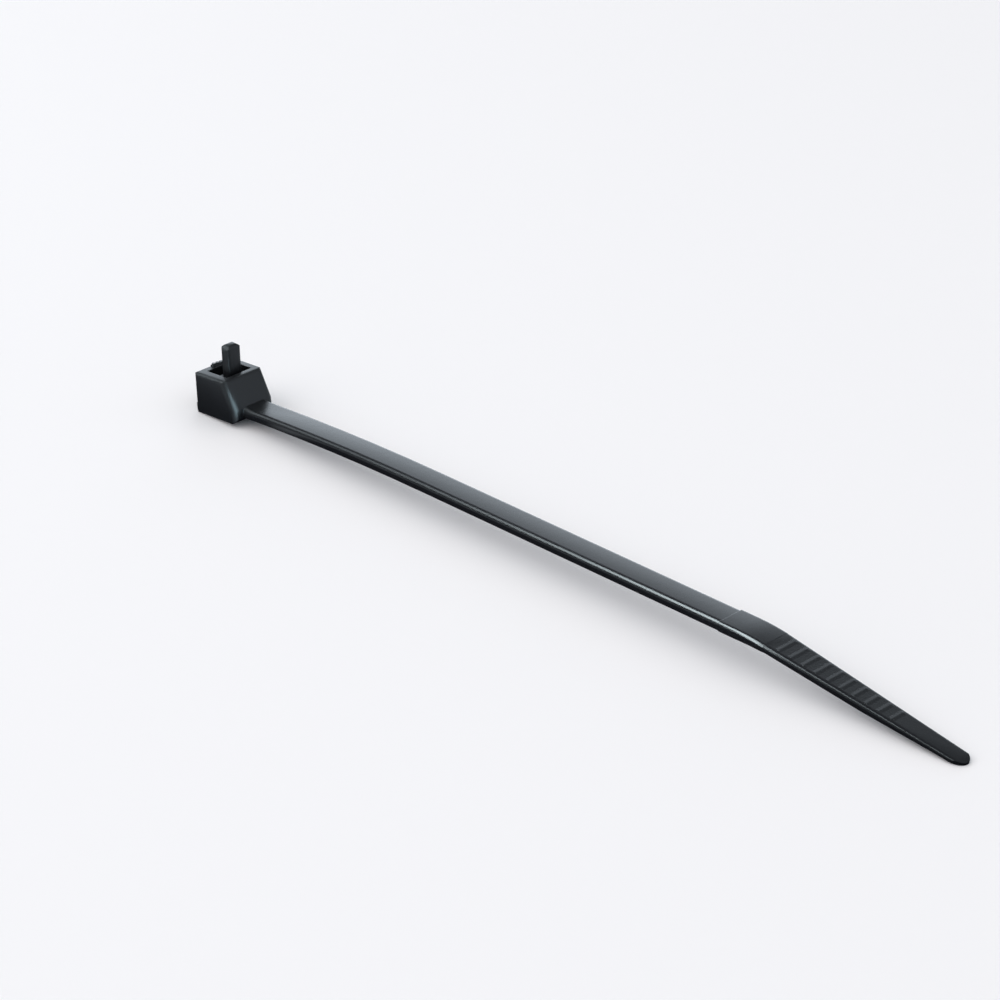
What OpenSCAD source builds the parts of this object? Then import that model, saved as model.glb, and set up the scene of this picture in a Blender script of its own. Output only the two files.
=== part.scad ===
// Releasable cable tie, moulded in one piece.
// It lies on z = 0 and runs along +X: the head rests on the back edge of its base,
// tipped up with the strap that leaves it, and the tail dips down to its tip.
// The origin is under the base at that edge, on the centre line.
// Sizes of the head are in its own frame, before it is tipped. All lengths are in millimetres.

/* [Overall] */
// Length along the strap from the back of the head to the tip
tie_len = 150; // [130:5:200]
// Width of the strap
strap_w = 4.8; // [4.6:0.1:5]
// Thickness of the strap over its side rails
strap_t = 1.52; // [1.48:0.02:1.6]

/* [Head] */
// Length of the head at its base
head_l = 9.7; // [9.5:0.1:10.4]
// Length of the head at its top, behind the sloped face
head_top_l = 7.7; // [7.5:0.1:8]
// Width of the head
head_w = 8; // [7.8:0.1:8.6]
// Height of the head above its base
head_h = 6.8; // [6.5:0.05:7.4]
// Height at which the sloped face starts, level with the strap
face_z = 2.36; // [2.3:0.02:2.5]
// Radius of the edges beside the strap and the sloped face
front_edge_r = 1.3; // [0.9:0.05:1.35]
// Radius of the upright edges of the back wall
back_edge_r = 0.8; // [0.6:0.05:1]
// Radius of the edges around the top of the head
head_top_r = 0.7; // [0.5:0.05:0.85]
// Radius of the edges along the back and the sides of the base
head_foot_r = 0.35; // [0.2:0.05:0.4]
// Radius of the lower edge under the strap
head_heel_r = 1.5; // [1:0.1:1.6]
// How far the top of the back wall leans forward
back_lean = 0.35; // [0.2:0.05:0.4]
// How far the lip stands out from the back wall
lip_out = 0.3; // [0.2:0.05:0.35]
// Height of the lip above the base
lip_z = 0.35; // [0.3:0.05:0.5]
// Height of the lip itself
lip_h = 1.1; // [0.8:0.1:1.4]
// Height of the gate mark on the top of the back wall
gate_h = 0.45; // [0.3:0.05:0.55]
// Width of the gate mark
gate_w = 2.2; // [2:0.1:2.8]
// Distance of the gate mark from the centre line
gate_y = 0.25; // [0:0.05:0.3]

/* [Slot, pawl and lever] */
// Thickness of the back wall, in front of the slot
back_wall = 2; // [1.9:0.05:2.1]
// Length of the slot between the back wall and the hinge wall
slot_l = 4.6; // [4.5:0.05:4.7]
// Clearance on each side of a strap in the slot
side_gap = 0.1; // [0.08:0.02:0.2]
// Clearance between a strap in the slot and the face of the pawl
pass_gap = 0.1; // [0.05:0.05:0.15]
// Depth of the funnel at the entry of the slot
funnel = 0.6; // [0.4:0.1:0.8]
// Width of the pawl
pawl_w = 3.1; // [2.9:0.1:3.2]
// Thickness of the pawl behind its teeth
pawl_t = 2.28; // [2.2:0.02:2.3]
// Thickness of the hinge that joins the pawl to the head
hinge_t = 1; // [0.8:0.1:1.2]
// Height of the hinge above the base
hinge_z = 0.8; // [0.7:0.1:1]
// Width of the release lever
lever_w = 2.8; // [2.5:0.1:2.8]
// Thickness of the release lever
lever_t = 1.8; // [1.7:0.05:1.8]
// How far the lever stands above the head
lever_up = 4.6; // [4:0.05:5]
// How far the lever leans toward the strap
lever_lean = 4; // [2:0.5:6]

/* [Strap] */
// Angle by which the head is tipped up, and at which the strap leaves it
root_angle = 4.8; // [4:0.1:5.4]
// Upward angle of the straight part of the strap
rise_angle = 0.45; // [0.2:0.05:0.9]
// Radius of the bow between the two
bow_r = 530; // [420:10:600]
// Radius of the upper long edges
edge_r = 0.72; // [0.6:0.02:0.74]
// Radius of the lower long edges
rail_r = 0.25; // [0.15:0.05:0.3]
// Length of the extra thickness on top of the root
root_pad_l = 2.4; // [1.8:0.1:3]
// Height of the extra thickness where it meets the head
root_pad_h = 0.16; // [0.12:0.02:0.24]

/* [Ratchet teeth] */
// Distance from tooth to tooth
tooth_pitch = 1.1; // [1:0.05:1.3]
// Depth of the notches
tooth_h = 0.5; // [0.4:0.05:0.55]
// Flat on the crest of each tooth
tooth_land = 0.15; // [0.1:0.05:0.25]
// Run of the steep flank that faces the head
tooth_flank = 0.12; // [0.08:0.02:0.2]
// Width of the smooth rail on each side of the teeth
rail_w = 0.7; // [0.6:0.05:0.75]
// Length of the smooth neck before the first tooth
neck_len = 7; // [4:0.5:10]

/* [Tail] */
// Length of the tail
tail_len = 41.5; // [39:0.5:46]
// Straight length of the tail before its downward bend
lead_l = 3; // [2:0.5:4]
// Radius of the downward bend
bend_r = 36; // [32:1:56]
// How far the tail stands proud of the strap on each side
tail_proud = 0.14; // [0.1:0.02:0.18]
// Step on the top face where the tail starts
tail_step = 0.04; // [0.03:0.01:0.08]
// Radius of the upper long edges along the bend
bend_edge_r = 0.55; // [0.5:0.01:0.6]
// Step from the bend down to the tapered blade, on every side
blade_step = 0.02; // [0.02:0.01:0.04]
// Radius of the upper long edges of the blade
blade_edge_r = 0.5; // [0.46:0.01:0.5]
// Thickness of the tail over its grip
grip_t = 1.15; // [1.05:0.05:1.25]
// Thickness of the tip
tip_t = 0.62; // [0.6:0.02:0.7]
// Distance from the start of the blade to where it starts to thin
thin_from = 14; // [12:0.5:15]
// Length over which it thins to the tip
tip_ramp = 16; // [14:0.5:16]
// Width of the tip
tip_w = 3; // [2.8:0.1:3.4]
// Length of the rounded end of the tip
tip_r = 2.6; // [2.2:0.1:3]

/* [Grip] */
// Number of grip ribs on each face of the tail
rib_n = 10; // [8:1:11]
// Distance from rib to rib
rib_pitch = 2.15; // [1.9:0.05:2.2]
// Distance from the start of the blade to the first rib
rib_from = 2; // [1.6:0.1:2.4]
// Height of the low ribs on the top face
rib_up = 0.05; // [0.04:0.01:0.1]
// Width of each rib at its foot
rib_foot = 1; // [0.8:0.05:1.2]
// Depth of the panel between the rails of the underside
panel_d = 0.3; // [0.2:0.02:0.36]
// Width of the rails beside the panel
panel_rail = 0.6; // [0.5:0.05:0.7]

/* [Hidden] */

deg = 180 / PI;
// Small overlap by which joined lengths reach into each other
lap = 0.8;
// How far the strap is anchored in the head
anchor = 2.2;
slot_w = strap_w + 2 * side_gap;
hinge_x = back_wall + slot_l;
pawl_face = back_wall + strap_t + pass_gap;
pawl_back = pawl_face + pawl_t;
pawl_top = head_h - 0.7;
lever_x = pawl_back - 0.08 - lever_t / 2;
// Angle of the back wall, and angle between the sloped face and the upright
back_tilt = atan(back_lean / head_h);
slope = atan((head_l - head_top_l) / (head_h - face_z));
// The flat of the base starts here, and the tipped head is lowered to touch z = 0 there
foot_x = head_foot_r / tan((90 - back_tilt) / 2);
lift = -foot_x * sin(root_angle);
// The origin lies under a point of the base this far from the back wall
mount_x = 0.9;
origin_x = mount_x * cos(root_angle);

bow_angle = root_angle - rise_angle;
bow_len = bow_r * bow_angle / deg;
strap_len = tie_len - head_l - tail_len;
tooth_n = floor((strap_len - neck_len - 0.6) / tooth_pitch);
// The crests lie this far inside the rails
crest_in = 0.05;

// A point [x, z] of the top line of the strap, at distance s from the head
root_pt = head_l * [cos(root_angle), sin(root_angle)]
    + face_z * [-sin(root_angle), cos(root_angle)]
    + [0, lift];
bow_center = root_pt + bow_r * [sin(root_angle), -cos(root_angle)];
function slope_at(s) = s < bow_len ? root_angle - s / bow_r * deg : rise_angle;
function top_pt(s) =
    s < bow_len
        ? bow_center + bow_r * [-sin(slope_at(s)), cos(slope_at(s))]
        : top_pt(bow_len - 0.000001) + (s - bow_len) * [cos(rise_angle), sin(rise_angle)];
// The same with a depth d below the top face
function strap_pt(s, d) = top_pt(s) + d * [sin(slope_at(s)), -cos(slope_at(s))];

// The tail starts at this point, and dips by an angle that lays its tip on z = 0
tail_start = strap_pt(strap_len, -tail_step);
bend_start = tail_start + lead_l * [cos(rise_angle), sin(rise_angle)];
function bend_len(a) = bend_r * (rise_angle + a) / deg;
function dip(a, n) =
    let (drop = (cos(a) - cos(rise_angle)) * bend_r - (blade_step + tip_t) * cos(a))
    n == 0
        ? a
        : dip(asin((bend_start[1] + drop) / (tail_len - lead_l - bend_len(a))), n - 1);
dip_angle = dip(7, 12);
bend_angle = rise_angle + dip_angle;
bent = bend_len(dip_angle);
bend_end = bend_start
    + bend_r * [sin(rise_angle) + sin(dip_angle), cos(dip_angle) - cos(rise_angle)];
// In the frame of the blade x = 0 is the end of the bend
blade_x = lead_l + bent;
tip_x = tail_len - blade_x;
blade_w = strap_w + 2 * tail_proud - 4 * blade_step;
taper_angle = atan((blade_w - tip_w) / 2 / tip_x);
function tail_w_at(x) = blade_w + (tip_w - blade_w) * x / tip_x;
grip_from = rib_from - 0.45;
grip_end = rib_from + (rib_n - 1) * rib_pitch + 0.9;
ramp_end = min(thin_from + tip_ramp, tip_x - 1);
// The underside of the bend thins down to the blade, which starts a little inside it
thin_end = blade_x - lap;
thin_t = blade_step + grip_t;
// A point of the tail at distance s from its start and depth d below its top face
function tail_pt(s, d) =
    let (a = min(max((blade_x - s) / bend_r * deg, 0), bend_angle))
    let (on = s < lead_l ? s - lead_l : max(s - blade_x, 0))
    [0, -bend_r] + (bend_r - d) * [-sin(a), cos(a)] + on * [cos(a), sin(a)];

// Rounds one corner q between p and t, in n steps
function unit(v) = v / norm(v);
function corner(p, q, t, r, n) =
    let (u = unit(p - q))
    let (v = unit(t - q))
    let (half = acos(u * v) / 2)
    let (c = q + unit(u + v) * r / sin(half))
    let (a = q + u * r / tan(half) - c)
    let (b = q + v * r / tan(half) - c)
    let (from = atan2(a[1], a[0]))
    let (turn = atan2(a[0] * b[1] - a[1] * b[0], a * b) / n)
    r <= 0
        ? [q]
        : [for (i = [0 : n]) c + r * [cos(from + turn * i), sin(from + turn * i)]];
// Rounds every corner of an outline by its own radius
function rounded(pts, radii, n = 6) =
    let (m = len(pts))
    [for (i = [0 : m - 1])
        each corner(pts[(i + m - 1) % m], pts[i], pts[(i + 1) % m], radii[i], n)];

// A side view [x, z] given the width w across
module across(w) {
    rotate([90, 0, 0])
        linear_extrude(height = w, center = true)
            children();
}

// A section [height, across] drawn out along +X
module along(l) {
    rotate([0, -90, 180])
        linear_extrude(height = l)
            children();
}

// The same section swept back from x = 0 along a downward bow of radius r
module bowed(r, angle) {
    translate([0, 0, -r])
        rotate([0, -90, 90])
            rotate_extrude(angle = angle, $fn = 256)
                translate([r, 0])
                    children();
}

// Section of a strap with soft upper and lower edges, its top face at 0
module strap_section(w, t, r_up, r_low) {
    polygon(rounded(
        [[0, -w / 2], [0, w / 2], [-t, w / 2], [-t, -w / 2]],
        [r_up, r_up, r_low, r_low],
        8
    ));
}

// Upper and lower edge on one side only, for one flank of the taper
module flank_section(r_up, r_low) {
    polygon(rounded(
        [[0, -8], [0, 0], [-grip_t, 0], [-grip_t, -8]],
        [0, r_up, r_low, 0]
    ));
}

// Two rounded long edges of an upright length, way is the side its material lies on
module edge_pair(tilt, way, r) {
    rotate([0, tilt, 0])
        translate([0, 0, -15])
            linear_extrude(height = 30)
                polygon(rounded(
                    [[0, -head_w / 2], [way * 15, -head_w / 2], [way * 15, head_w / 2], [0, head_w / 2]],
                    [r, 0, 0, r],
                    8
                ));
}

// Outer form of the head: side view, front view and its upright edges meet in one block
module head_block() {
    intersection() {
        across(head_w)
            polygon(rounded(
                [[0, 0], [head_l, 0], [head_l, face_z], [head_top_l, head_h], [back_lean, head_h]],
                [head_foot_r, head_heel_r, 0, head_top_r, head_top_r]
            ));
        translate([-1, 0, 0])
            rotate([90, 0, 90])
                linear_extrude(height = head_l + 2)
                    polygon(rounded(
                        [[-head_w / 2, 0], [head_w / 2, 0], [head_w / 2, head_h], [-head_w / 2, head_h]],
                        [head_foot_r, head_foot_r, head_top_r, head_top_r]
                    ));
        edge_pair(back_tilt, 1, back_edge_r);
        translate([head_l, 0, 0])
            edge_pair(0, -1, front_edge_r);
        translate([head_l, 0, face_z])
            edge_pair(-slope, -1, front_edge_r);
    }
}

// Lip low on the back wall, its plan rounded like the wall
module lip() {
    half = head_w / 2 - 0.15;
    intersection() {
        across(head_w + 1)
            polygon(rounded(
                [[-lip_out, lip_z], [1.5, lip_z], [1.5, lip_z + lip_h], [-lip_out, lip_z + lip_h]],
                [0.25, 0, 0, 0.25]
            ));
        linear_extrude(height = head_h)
            polygon(rounded(
                [[-lip_out, -half], [1.4, -half], [1.4, half], [-lip_out, half]],
                [back_edge_r, 0, 0, back_edge_r]
            ));
    }
}

// Trimmed gate mark on top of the back wall: a low pad and three small bumps
module gate_mark() {
    translate([0.75, gate_y, head_h - 0.4])
        across(gate_w)
            polygon(rounded(
                [[0, 0], [0.9, 0], [0.8, 0.4 + gate_h * 0.6], [0.1, 0.4 + gate_h * 0.6]],
                [0, 0, 0.15, 0.15]
            ));
    for (i = [-1 : 1])
        translate([1.2, gate_y + i * gate_w / 3, head_h - 0.4])
            cylinder(h = 0.4 + gate_h * (0.9 - 0.1 * i), r = 0.32, $fn = 24);
}

// Slot for the strap, right through the head, with a funnel at the base
module slot() {
    translate([back_wall, -slot_w / 2, -1])
        cube([slot_l, slot_w, head_h + 2]);
    across(slot_w - 0.02)
        polygon([
            [back_wall - funnel * 0.7, -1],
            [back_wall - funnel * 0.7, 0],
            [back_wall, funnel],
            [back_wall + 1, funnel],
            [back_wall + 1, -1]
        ]);
}

// Pawl on its hinge: three teeth face the back wall, steep side up
module pawl() {
    across(pawl_w)
        polygon(concat(
            [
                [hinge_x + 0.4, hinge_z],
                [hinge_x + 0.4, hinge_z + hinge_t],
                [pawl_back, hinge_z + hinge_t + 0.3],
                [pawl_back, pawl_top],
                [pawl_face, pawl_top]
            ],
            [for (i = [2 : -1 : 0])
                let (z = 1.7 + tooth_pitch * i)
                let (crest = z + tooth_pitch - tooth_land)
                each [
                    [pawl_face, crest],
                    [pawl_face - tooth_h + pass_gap, crest - tooth_flank],
                    [pawl_face, z]
                ]],
            [
                [pawl_face, 1.6],
                [pawl_face + 0.6, hinge_z]
            ]
        ));
}

// Release lever, standing on the pawl and out of the top of the head, with a domed end
module lever() {
    a = lever_t / 2;
    b = lever_w / 2;
    h = head_h + lever_up - pawl_top;
    translate([lever_x, 0, pawl_top])
        rotate([0, lever_lean, 0])
            intersection() {
                across(lever_w + 1)
                    polygon(rounded([[-a, -0.7], [a, -0.7], [a, h], [-a, h]], [0, 0, 0.75, 0.75]));
                translate([-2, 0, 0])
                    rotate([90, 0, 90])
                        linear_extrude(height = 4)
                            polygon(rounded(
                                [[-b, -1.5], [b, -1.5], [b, h], [-b, h]],
                                [0, 0, 1.15, 1.15],
                                8
                            ));
                translate([0, 0, -2])
                    linear_extrude(height = h + 3)
                        polygon(rounded([[-a, -b], [a, -b], [a, b], [-a, b]], [0.6, 0.6, 0.6, 0.6]));
            }
}

// Bowed and straight lengths of the strap, still without teeth
module strap_band() {
    translate([top_pt(bow_len)[0], 0, top_pt(bow_len)[1]])
        rotate([0, -rise_angle, 0]) {
            along(strap_len - bow_len + lap)
                strap_section(strap_w, strap_t, edge_r, rail_r);
            bowed(bow_r, bow_angle + anchor / bow_r * deg)
                strap_section(strap_w, strap_t, edge_r, rail_r);
        }
}

// Extra thickness on the root, sinking into the strap away from the head
module root_pad() {
    translate([head_l, 0, face_z + root_pad_h])
        rotate([0, atan(root_pad_h / root_pad_l), 0])
            translate([-1, 0, 0])
                along(root_pad_l + 2)
                    strap_section(strap_w - 0.1, 0.8, edge_r, 0);
}

// Ratchet teeth: one comb that cuts all notches between the side rails
module tooth_comb() {
    crest = strap_t - crest_in;
    last = neck_len + tooth_n * tooth_pitch;
    across(strap_w - 2 * rail_w)
        polygon(concat(
            [for (i = [0 : tooth_n - 1]) each [
                strap_pt(neck_len + i * tooth_pitch, crest),
                strap_pt(neck_len + i * tooth_pitch + tooth_land, crest),
                strap_pt(neck_len + (i + 1) * tooth_pitch - tooth_flank, crest - tooth_h)
            ]],
            [strap_pt(last, crest)],
            [for (i = [20 : -1 : 0]) strap_pt(neck_len + (last - neck_len) * i / 20, strap_t + 1)]
        ));
}

// Start of the tail: prouder than the strap, straight and then bent down
module tail_bend() {
    translate([bend_start[0], 0, bend_start[1]])
        rotate([0, -rise_angle, 0])
            mirror([1, 0, 0]) {
                along(lead_l)
                    strap_section(strap_w + 2 * tail_proud, strap_t + tail_step, bend_edge_r, rail_r);
                bowed(bend_r, bend_angle)
                    strap_section(strap_w + 2 * tail_proud, strap_t + tail_step, bend_edge_r, rail_r);
            }
}

// What is taken off below, so that the tail thins along the bend
module bend_thinning() {
    across(strap_w + 2)
        polygon(concat(
            [for (i = [0 : 9])
                tail_pt(
                    0.6 + (thin_end - 0.6) * i / 9,
                    strap_t + 0.12 + (thin_t + 0.04 - strap_t - 0.12) * i / 9
                )],
            [
                tail_pt(blade_x, thin_t - 0.04),
                tail_pt(blade_x + 1, thin_t - 0.04),
                tail_pt(blade_x + 1, strap_t + 3),
                tail_pt(0.6, strap_t + 3)
            ]
        ));
}

// One flank of the blade with its soft edges
module taper_flank() {
    translate([0, blade_w / 2, 0])
        rotate([0, 0, -taper_angle])
            translate([-3, 0, 0])
                along(tip_x + 6)
                    mirror([0, 1])
                        flank_section(blade_edge_r, 0.15);
}

// Tapered blade with its blunt tip
module tail_blade() {
    end_x = tip_x - tip_r;
    difference() {
        intersection() {
            taper_flank();
            mirror([0, 1, 0])
                taper_flank();
            translate([0, 0, -4])
                linear_extrude(height = 8)
                    polygon(concat(
                        [[-lap, -5], [end_x, -5]],
                        [for (a = [-90 : 10 : 90])
                            [end_x + tip_r * cos(a), (tip_w / 2 + 0.1) * sin(a)]],
                        [[end_x, 5], [-lap, 5]]
                    ));
        }
        // The blade thins from the middle of the grip to the tip
        across(strap_w + 2)
            polygon([
                [thin_from, -4],
                [thin_from, -grip_t - 0.02],
                [ramp_end, -tip_t],
                [tip_x + 1, -tip_t],
                [tip_x + 1, -4]
            ]);
        // Facet that eases the end of the tip from above
        across(strap_w + 2)
            polygon([
                [tip_x - 1.3, 0],
                [tip_x + 0.2, -0.25],
                [tip_x + 0.2, 1],
                [tip_x - 1.3, 1]
            ]);
        grip_panel();
    }
}

// Panel sunk into the underside, with one rung left standing at each rib
module grip_panel() {
    a = grip_from;
    b = grip_end - 0.5;
    difference() {
        translate([0, 0, -grip_t - 1])
            linear_extrude(height = 1 + panel_d)
                polygon([
                    [a, -tail_w_at(a) / 2 + panel_rail],
                    [b, -tail_w_at(b) / 2 + panel_rail],
                    [b, tail_w_at(b) / 2 - panel_rail],
                    [a, tail_w_at(a) / 2 - panel_rail]
                ]);
        for (i = [0 : rib_n - 1])
            translate([rib_from + i * rib_pitch, 0, 0])
                across(strap_w)
                    polygon([
                        [-0.32, -grip_t + 0.04],
                        [0.32, -grip_t + 0.04],
                        [0.45, -grip_t + panel_d + 0.5],
                        [-0.45, -grip_t + panel_d + 0.5]
                    ]);
    }
}

// Low ribs across the top face, over the rungs of the underside
module top_ribs() {
    for (i = [0 : rib_n - 1]) {
        x = rib_from + i * rib_pitch;
        translate([x, 0, 0])
            across(tail_w_at(x) - 1.3)
                polygon(concat(
                    [[-rib_foot / 2, -0.12], [rib_foot / 2, -0.12]],
                    [for (a = [180 : -45 : -180]) [
                        rib_foot * a / 360,
                        0.005 + (rib_up - 0.005) * (1 + cos(a)) / 2
                    ]]
                ));
    }
}

module tail() {
    difference() {
        tail_bend();
        translate([bend_end[0], 0, bend_end[1]])
            rotate([0, dip_angle, 0])
                bend_thinning();
    }
    translate([bend_end[0], 0, bend_end[1]])
        rotate([0, dip_angle, 0])
            translate([0, 0, -blade_step]) {
                tail_blade();
                top_ribs();
            }
}

module head() {
    difference() {
        union() {
            head_block();
            lip();
            gate_mark();
        }
        slot();
    }
    pawl();
    lever();
}

module cable_tie() {
    color([0.09, 0.1, 0.11])
        translate([-origin_x, 0, 0]) {
            translate([0, 0, lift])
                rotate([0, -root_angle, 0]) {
                    head();
                    root_pad();
                }
            difference() {
                strap_band();
                tooth_comb();
            }
            tail();
        }
}

cable_tie();
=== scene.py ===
import math

import bpy
from mathutils import Matrix, Vector

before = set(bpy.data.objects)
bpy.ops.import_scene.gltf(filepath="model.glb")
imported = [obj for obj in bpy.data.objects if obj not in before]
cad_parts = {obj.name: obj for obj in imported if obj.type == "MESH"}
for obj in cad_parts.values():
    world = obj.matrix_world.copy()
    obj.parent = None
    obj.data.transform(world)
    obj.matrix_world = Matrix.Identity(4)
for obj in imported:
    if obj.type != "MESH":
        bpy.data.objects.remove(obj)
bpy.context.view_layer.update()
scene = bpy.context.scene

# Cable tie: one moulding of black nylon, straight from the tool, in which head, pawl,
# lever, strap, teeth and tail run into each other. The solid keeps its shape here. Its
# faces are joined and shaded smooth, as a polished mould leaves them.
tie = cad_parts["cable_tie"]
join_reach = 1e-6
crisp_angle = math.radians(32)

for name in [a.name for a in tie.data.attributes if a.name == "custom_normal"]:
    tie.data.attributes.remove(tie.data.attributes[name])
for poly in tie.data.polygons:
    poly.use_smooth = True
weld = tie.modifiers.new("join faces", "WELD")
weld.merge_threshold = join_reach

# Edges that turn by more than the crisp angle stay sharp
crisp = bpy.data.node_groups.new("smooth by angle", "GeometryNodeTree")
crisp.interface.new_socket("Geometry", in_out="INPUT", socket_type="NodeSocketGeometry")
crisp.interface.new_socket("Geometry", in_out="OUTPUT", socket_type="NodeSocketGeometry")
solid_in = crisp.nodes.new("NodeGroupInput")
solid_out = crisp.nodes.new("NodeGroupOutput")
angle = crisp.nodes.new("GeometryNodeInputMeshEdgeAngle")
limit = crisp.nodes.new("FunctionNodeCompare")
limit.data_type = "FLOAT"
limit.operation = "GREATER_THAN"
limit.inputs[1].default_value = crisp_angle
smooth = crisp.nodes.new("GeometryNodeSetShadeSmooth")
smooth.domain = "EDGE"
smooth.inputs["Shade Smooth"].default_value = False
crisp.links.new(solid_in.outputs["Geometry"], smooth.inputs["Geometry"])
crisp.links.new(angle.outputs["Unsigned Angle"], limit.inputs[0])
crisp.links.new(limit.outputs["Result"], smooth.inputs["Selection"])
crisp.links.new(smooth.outputs["Geometry"], solid_out.inputs["Geometry"])
shade = tie.modifiers.new("smooth by angle", "NODES")
shade.node_group = crisp

# Nylon: near black, with a satin gloss on the strap and a duller skin on the head, a
# faint unevenness from the mould, and edges that are a little rounder than they look
nylon_black = (0.0045, 0.005, 0.006, 1)
nylon_ior = 1.53
head_rough = 0.4
strap_rough = 0.26
head_end_x = 0.0075
strap_start_x = 0.0125
edge_round = 0.00012
uneven_scale = 900.0
uneven_depth = 0.0002

nylon = bpy.data.materials.new("black_nylon")
nylon.use_nodes = True
nt = nylon.node_tree
skin = nt.nodes["Principled BSDF"]
skin.inputs["Base Color"].default_value = nylon_black
skin.inputs["IOR"].default_value = nylon_ior
on_tie = nt.nodes.new("ShaderNodeTexCoord")
uneven = nt.nodes.new("ShaderNodeTexNoise")
uneven.inputs["Scale"].default_value = uneven_scale
uneven.inputs["Detail"].default_value = 2.0
bump = nt.nodes.new("ShaderNodeBump")
bump.inputs["Strength"].default_value = 0.03
bump.inputs["Distance"].default_value = uneven_depth
rounded = nt.nodes.new("ShaderNodeBevel")
rounded.samples = 6
rounded.inputs["Radius"].default_value = edge_round
along_tie = nt.nodes.new("ShaderNodeSeparateXYZ")
rough = nt.nodes.new("ShaderNodeMapRange")
rough.interpolation_type = "SMOOTHSTEP"
rough.inputs["From Min"].default_value = head_end_x
rough.inputs["From Max"].default_value = strap_start_x
rough.inputs["To Min"].default_value = head_rough
rough.inputs["To Max"].default_value = strap_rough
nt.links.new(on_tie.outputs["Object"], uneven.inputs["Vector"])
nt.links.new(uneven.outputs["Fac"], bump.inputs["Height"])
nt.links.new(rounded.outputs["Normal"], bump.inputs["Normal"])
nt.links.new(bump.outputs["Normal"], skin.inputs["Normal"])
nt.links.new(on_tie.outputs["Object"], along_tie.inputs["Vector"])
nt.links.new(along_tie.outputs["X"], rough.inputs["Value"])
nt.links.new(rough.outputs["Result"], skin.inputs["Roughness"])
tie.data.materials.clear()
tie.data.materials.append(nylon)

# Table: a plain white sheet, lying loose under the tie. In the tie's gloss only it is
# painted grey, a painted dimmer reflection, with painted shade, nearly black, in a strip
# close beside the tie, and a painted highlight in a spot before the front corner of the head.
table_size = 6
table_white = (0.93, 0.93, 0.94, 1)
# Painted reflection: what the tie's gloss sees of the white table is painted grey
reflection_painted_grey = (0.5, 0.55, 0.6, 1)
# Painted shade: the strip close beside the tie is painted nearly black in the gloss
reflection_painted_shade = (0.035, 0.04, 0.055, 1)
# Painted highlight: a pale bluish spot before the head's front corner, in the gloss
reflection_painted_highlight = (0.85, 0.93, 1, 1)
painted_shade_y = -0.005
painted_shade_half = 0.005
painted_shade_end = 0.016
painted_highlight_spot = (0.0135, -0.0105, 0)
painted_highlight_r = 0.003
painted_highlight_end = 0.0065

bpy.ops.mesh.primitive_plane_add(size=table_size, location=(0.07, 0, 0))
floor = bpy.context.object
floor.name = "floor"
pale = bpy.data.materials.new("pale_table")
pale.use_nodes = True
ft = pale.node_tree
sheet = ft.nodes["Principled BSDF"]
sheet.inputs["Roughness"].default_value = 0.55
sheet.inputs["Specular IOR Level"].default_value = 0.0
point = ft.nodes.new("ShaderNodeNewGeometry")
across = ft.nodes.new("ShaderNodeSeparateXYZ")
# Mask of the painted shade: distance across from the line beside the tie
off_line = ft.nodes.new("ShaderNodeMath")
off_line.operation = "SUBTRACT"
off_line.inputs[1].default_value = painted_shade_y
beside = ft.nodes.new("ShaderNodeMath")
beside.operation = "ABSOLUTE"
painted_shade_mask = ft.nodes.new("ShaderNodeMapRange")
painted_shade_mask.interpolation_type = "SMOOTHSTEP"
painted_shade_mask.inputs["From Min"].default_value = painted_shade_half
painted_shade_mask.inputs["From Max"].default_value = painted_shade_end
with_painted_shade = ft.nodes.new("ShaderNodeMix")
with_painted_shade.data_type = "RGBA"
with_painted_shade.inputs["A"].default_value = reflection_painted_shade
with_painted_shade.inputs["B"].default_value = reflection_painted_grey
# Mask of the painted highlight spot, by distance from its centre
away = ft.nodes.new("ShaderNodeVectorMath")
away.operation = "DISTANCE"
away.inputs[1].default_value = painted_highlight_spot
painted_highlight_mask = ft.nodes.new("ShaderNodeMapRange")
painted_highlight_mask.interpolation_type = "SMOOTHSTEP"
painted_highlight_mask.inputs["From Min"].default_value = painted_highlight_end
painted_highlight_mask.inputs["From Max"].default_value = painted_highlight_r
with_painted_highlight = ft.nodes.new("ShaderNodeMix")
with_painted_highlight.data_type = "RGBA"
with_painted_highlight.inputs["B"].default_value = reflection_painted_highlight
# Only gloss rays see the painted colours; the camera sees the even white table
ray = ft.nodes.new("ShaderNodeLightPath")
tone = ft.nodes.new("ShaderNodeMix")
tone.data_type = "RGBA"
tone.inputs["A"].default_value = table_white
ft.links.new(point.outputs["Position"], across.inputs["Vector"])
ft.links.new(across.outputs["Y"], off_line.inputs[0])
ft.links.new(off_line.outputs["Value"], beside.inputs[0])
ft.links.new(beside.outputs["Value"], painted_shade_mask.inputs["Value"])
ft.links.new(painted_shade_mask.outputs["Result"], with_painted_shade.inputs["Factor"])
ft.links.new(point.outputs["Position"], away.inputs[0])
ft.links.new(away.outputs["Value"], painted_highlight_mask.inputs["Value"])
ft.links.new(painted_highlight_mask.outputs["Result"], with_painted_highlight.inputs["Factor"])
ft.links.new(with_painted_shade.outputs["Result"], with_painted_highlight.inputs["A"])
ft.links.new(with_painted_highlight.outputs["Result"], tone.inputs["B"])
ft.links.new(ray.outputs["Is Glossy Ray"], tone.inputs["Factor"])
ft.links.new(tone.outputs["Result"], sheet.inputs["Base Color"])
floor.data.materials.append(pale)

# Room: dim bluish walls, a little lighter on the right, and a broad white sweep low
# behind the tie. The top of the strap mirrors the sweep, so it is pale by the head,
# where it looks straight into the sweep, and dark on the tail, which dips away.
room_strength = 3.0
wall_tint = (0.82, 0.91, 1.0)
sweep_way = (-0.707, 0.707, 0)
sweep_levels = ((0.55, 0.085), (0.72, 0.11), (0.8, 0.19), (0.86, 0.37), (0.9, 0.6), (0.94, 0.86), (1.0, 1.0))
right_wall = (0.125, 0.14, 0.16, 1)
right_wall_start = 0.2
right_wall_full = 0.7

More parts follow.
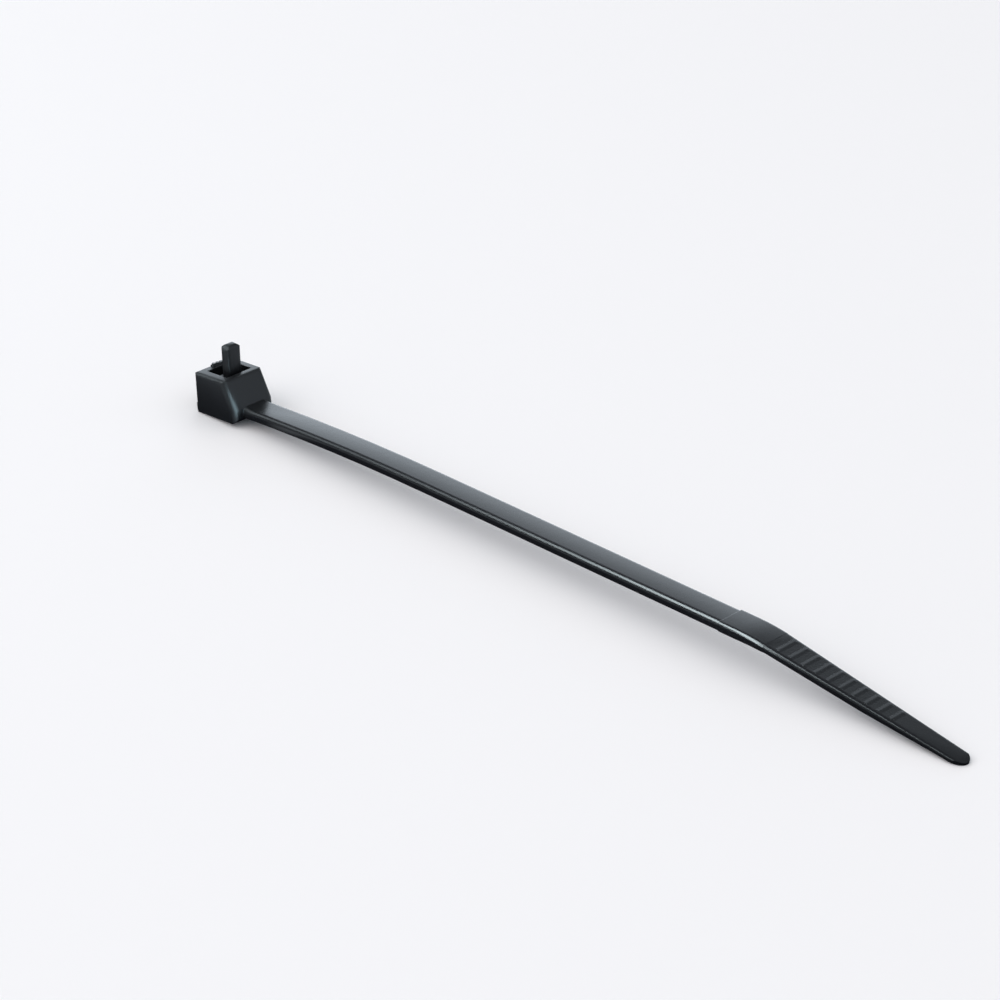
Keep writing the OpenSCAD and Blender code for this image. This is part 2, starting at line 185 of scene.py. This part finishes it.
world = bpy.data.worlds.new("room")
scene.world = world
world.use_nodes = True
wt = world.node_tree
walls = wt.nodes["Background"]
walls.inputs["Strength"].default_value = room_strength
way = wt.nodes.new("ShaderNodeTexCoord")
toward = wt.nodes.new("ShaderNodeVectorMath")
toward.operation = "DOT_PRODUCT"
toward.inputs[1].default_value = sweep_way
sweep = wt.nodes.new("ShaderNodeValToRGB")
for at, level in sweep_levels[1:-1]:
    sweep.color_ramp.elements.new(at)
for stop, (at, level) in zip(sweep.color_ramp.elements, sweep_levels):
    stop.position = at
    stop.color = [level * part for part in wall_tint] + [1]
split_way = wt.nodes.new("ShaderNodeSeparateXYZ")
right_mask = wt.nodes.new("ShaderNodeMapRange")
right_mask.interpolation_type = "SMOOTHSTEP"
right_mask.inputs["From Min"].default_value = right_wall_start
right_mask.inputs["From Max"].default_value = right_wall_full
add_right = wt.nodes.new("ShaderNodeMix")
add_right.data_type = "RGBA"
add_right.blend_type = "ADD"
add_right.inputs["B"].default_value = right_wall
wt.links.new(way.outputs["Generated"], toward.inputs[0])
wt.links.new(toward.outputs["Value"], sweep.inputs["Fac"])
wt.links.new(way.outputs["Generated"], split_way.inputs["Vector"])
wt.links.new(split_way.outputs["X"], right_mask.inputs["Value"])
wt.links.new(right_mask.outputs["Result"], add_right.inputs["Factor"])
wt.links.new(sweep.outputs["Color"], add_right.inputs["A"])
wt.links.new(add_right.outputs["Result"], walls.inputs["Color"])


# Lamps: softboxes on stands round the table, and two small cards close to the tie.
# Each one faces its target, with its long side along the given direction. None of
# them is seen by the camera.
def softbox(name, place, target, along, length, width, power, color):
    data = bpy.data.lights.new(name, "AREA")
    data.shape = "RECTANGLE"
    data.size = width
    data.size_y = length
    data.energy = power
    data.color = color
    lamp = bpy.data.objects.new(name, data)
    scene.collection.objects.link(lamp)
    back_axis = (Vector(place) - Vector(target)).normalized()
    side_axis = Vector(along).cross(back_axis).normalized()
    long_axis = back_axis.cross(side_axis)
    lamp.location = place
    lamp.rotation_euler = Matrix((side_axis, long_axis, back_axis)).transposed().to_euler()
    lamp.visible_camera = False
    return lamp


cool = (0.84, 0.96, 1.0)

# Near strip: draws the bright line along the near edge of the strap, from its middle
# to the start of the bend. It shows in the gloss only, as do the next three.
near_strip = softbox("near_strip", (-0.052, -0.15, 0.193), (0.1, 0, 0.005),
                     (0, -0.795, -0.607), 0.18, 0.08, 0.78, cool)
near_strip.visible_diffuse = False

# Bend card: widens that line where the strap turns into the tail
bend_card = softbox("bend_card", (0.1025, -0.019, 0.0125), (0.114, -0.0025, 0.009),
                    (-0.27, 0, 0.96), 0.018, 0.006, 0.0013, cool)
bend_card.data.spread = math.radians(90)
bend_card.visible_diffuse = False

# Tail strip: draws the fainter line along the edge of the tail
tail_strip = softbox("tail_strip", (0.072, -0.12, 0.152), (0.135, 0, 0.003),
                     (1, 0, 0), 0.06, 0.04, 0.05, cool)
tail_strip.visible_diffuse = False

# Corner card: shows as a soft bluish band down the front corner of the head
corner_card = softbox("corner_card", (0.0128, -0.007, 0.0043), (0.0085, -0.0038, 0.0035),
                      (0, 0, 1), 0.0054, 0.006, 0.00014, (0.62, 0.88, 1.0))
corner_card.data.spread = math.radians(80)
corner_card.visible_diffuse = False

# Left softbox: wide and dim, it softens the near top edge of the head
softbox("left_softbox", (-0.47, -0.225, 0.3), (0.005, 0, 0.005),
        (0, -0.8, -0.6), 0.3, 0.3, 0.45, (0.84, 0.94, 1.0))

# Ceiling panel: lights the table from all round above, and keeps out of the gloss
panel = softbox("ceiling_panel", (0.07, 0, 0.9), (0.07, 0, 0),
                (1, 0, 0), 3.0, 3.0, 15.5, (1.0, 0.93, 0.87))
panel.visible_glossy = False

# Front fill: broad, from the front left, it lifts the shadow under the strap
fill = softbox("front_fill", (-0.7, -2.0, 1.36), (0.07, 0, 0),
               (0, 0, 1), 2.5, 3.0, 27, (1.0, 0.93, 0.93))
fill.visible_glossy = False

# Camera: a long lens on a stand at the photograph's place, about 28 degrees above the
# table and looking along the tie from the tail's side
cam_data = bpy.data.cameras.new("camera")
cam_data.sensor_width = 36
cam_data.lens = 121.403
cam_data.clip_start = 0.05
cam = bpy.data.objects.new("camera", cam_data)
scene.collection.objects.link(cam)
cam.location = (0.370052, -0.297129, 0.232421)
cam.rotation_euler = (math.radians(62.1459), math.radians(0.5526), math.radians(45.6749))
scene.camera = cam
scene.view_settings.view_transform = "Standard"
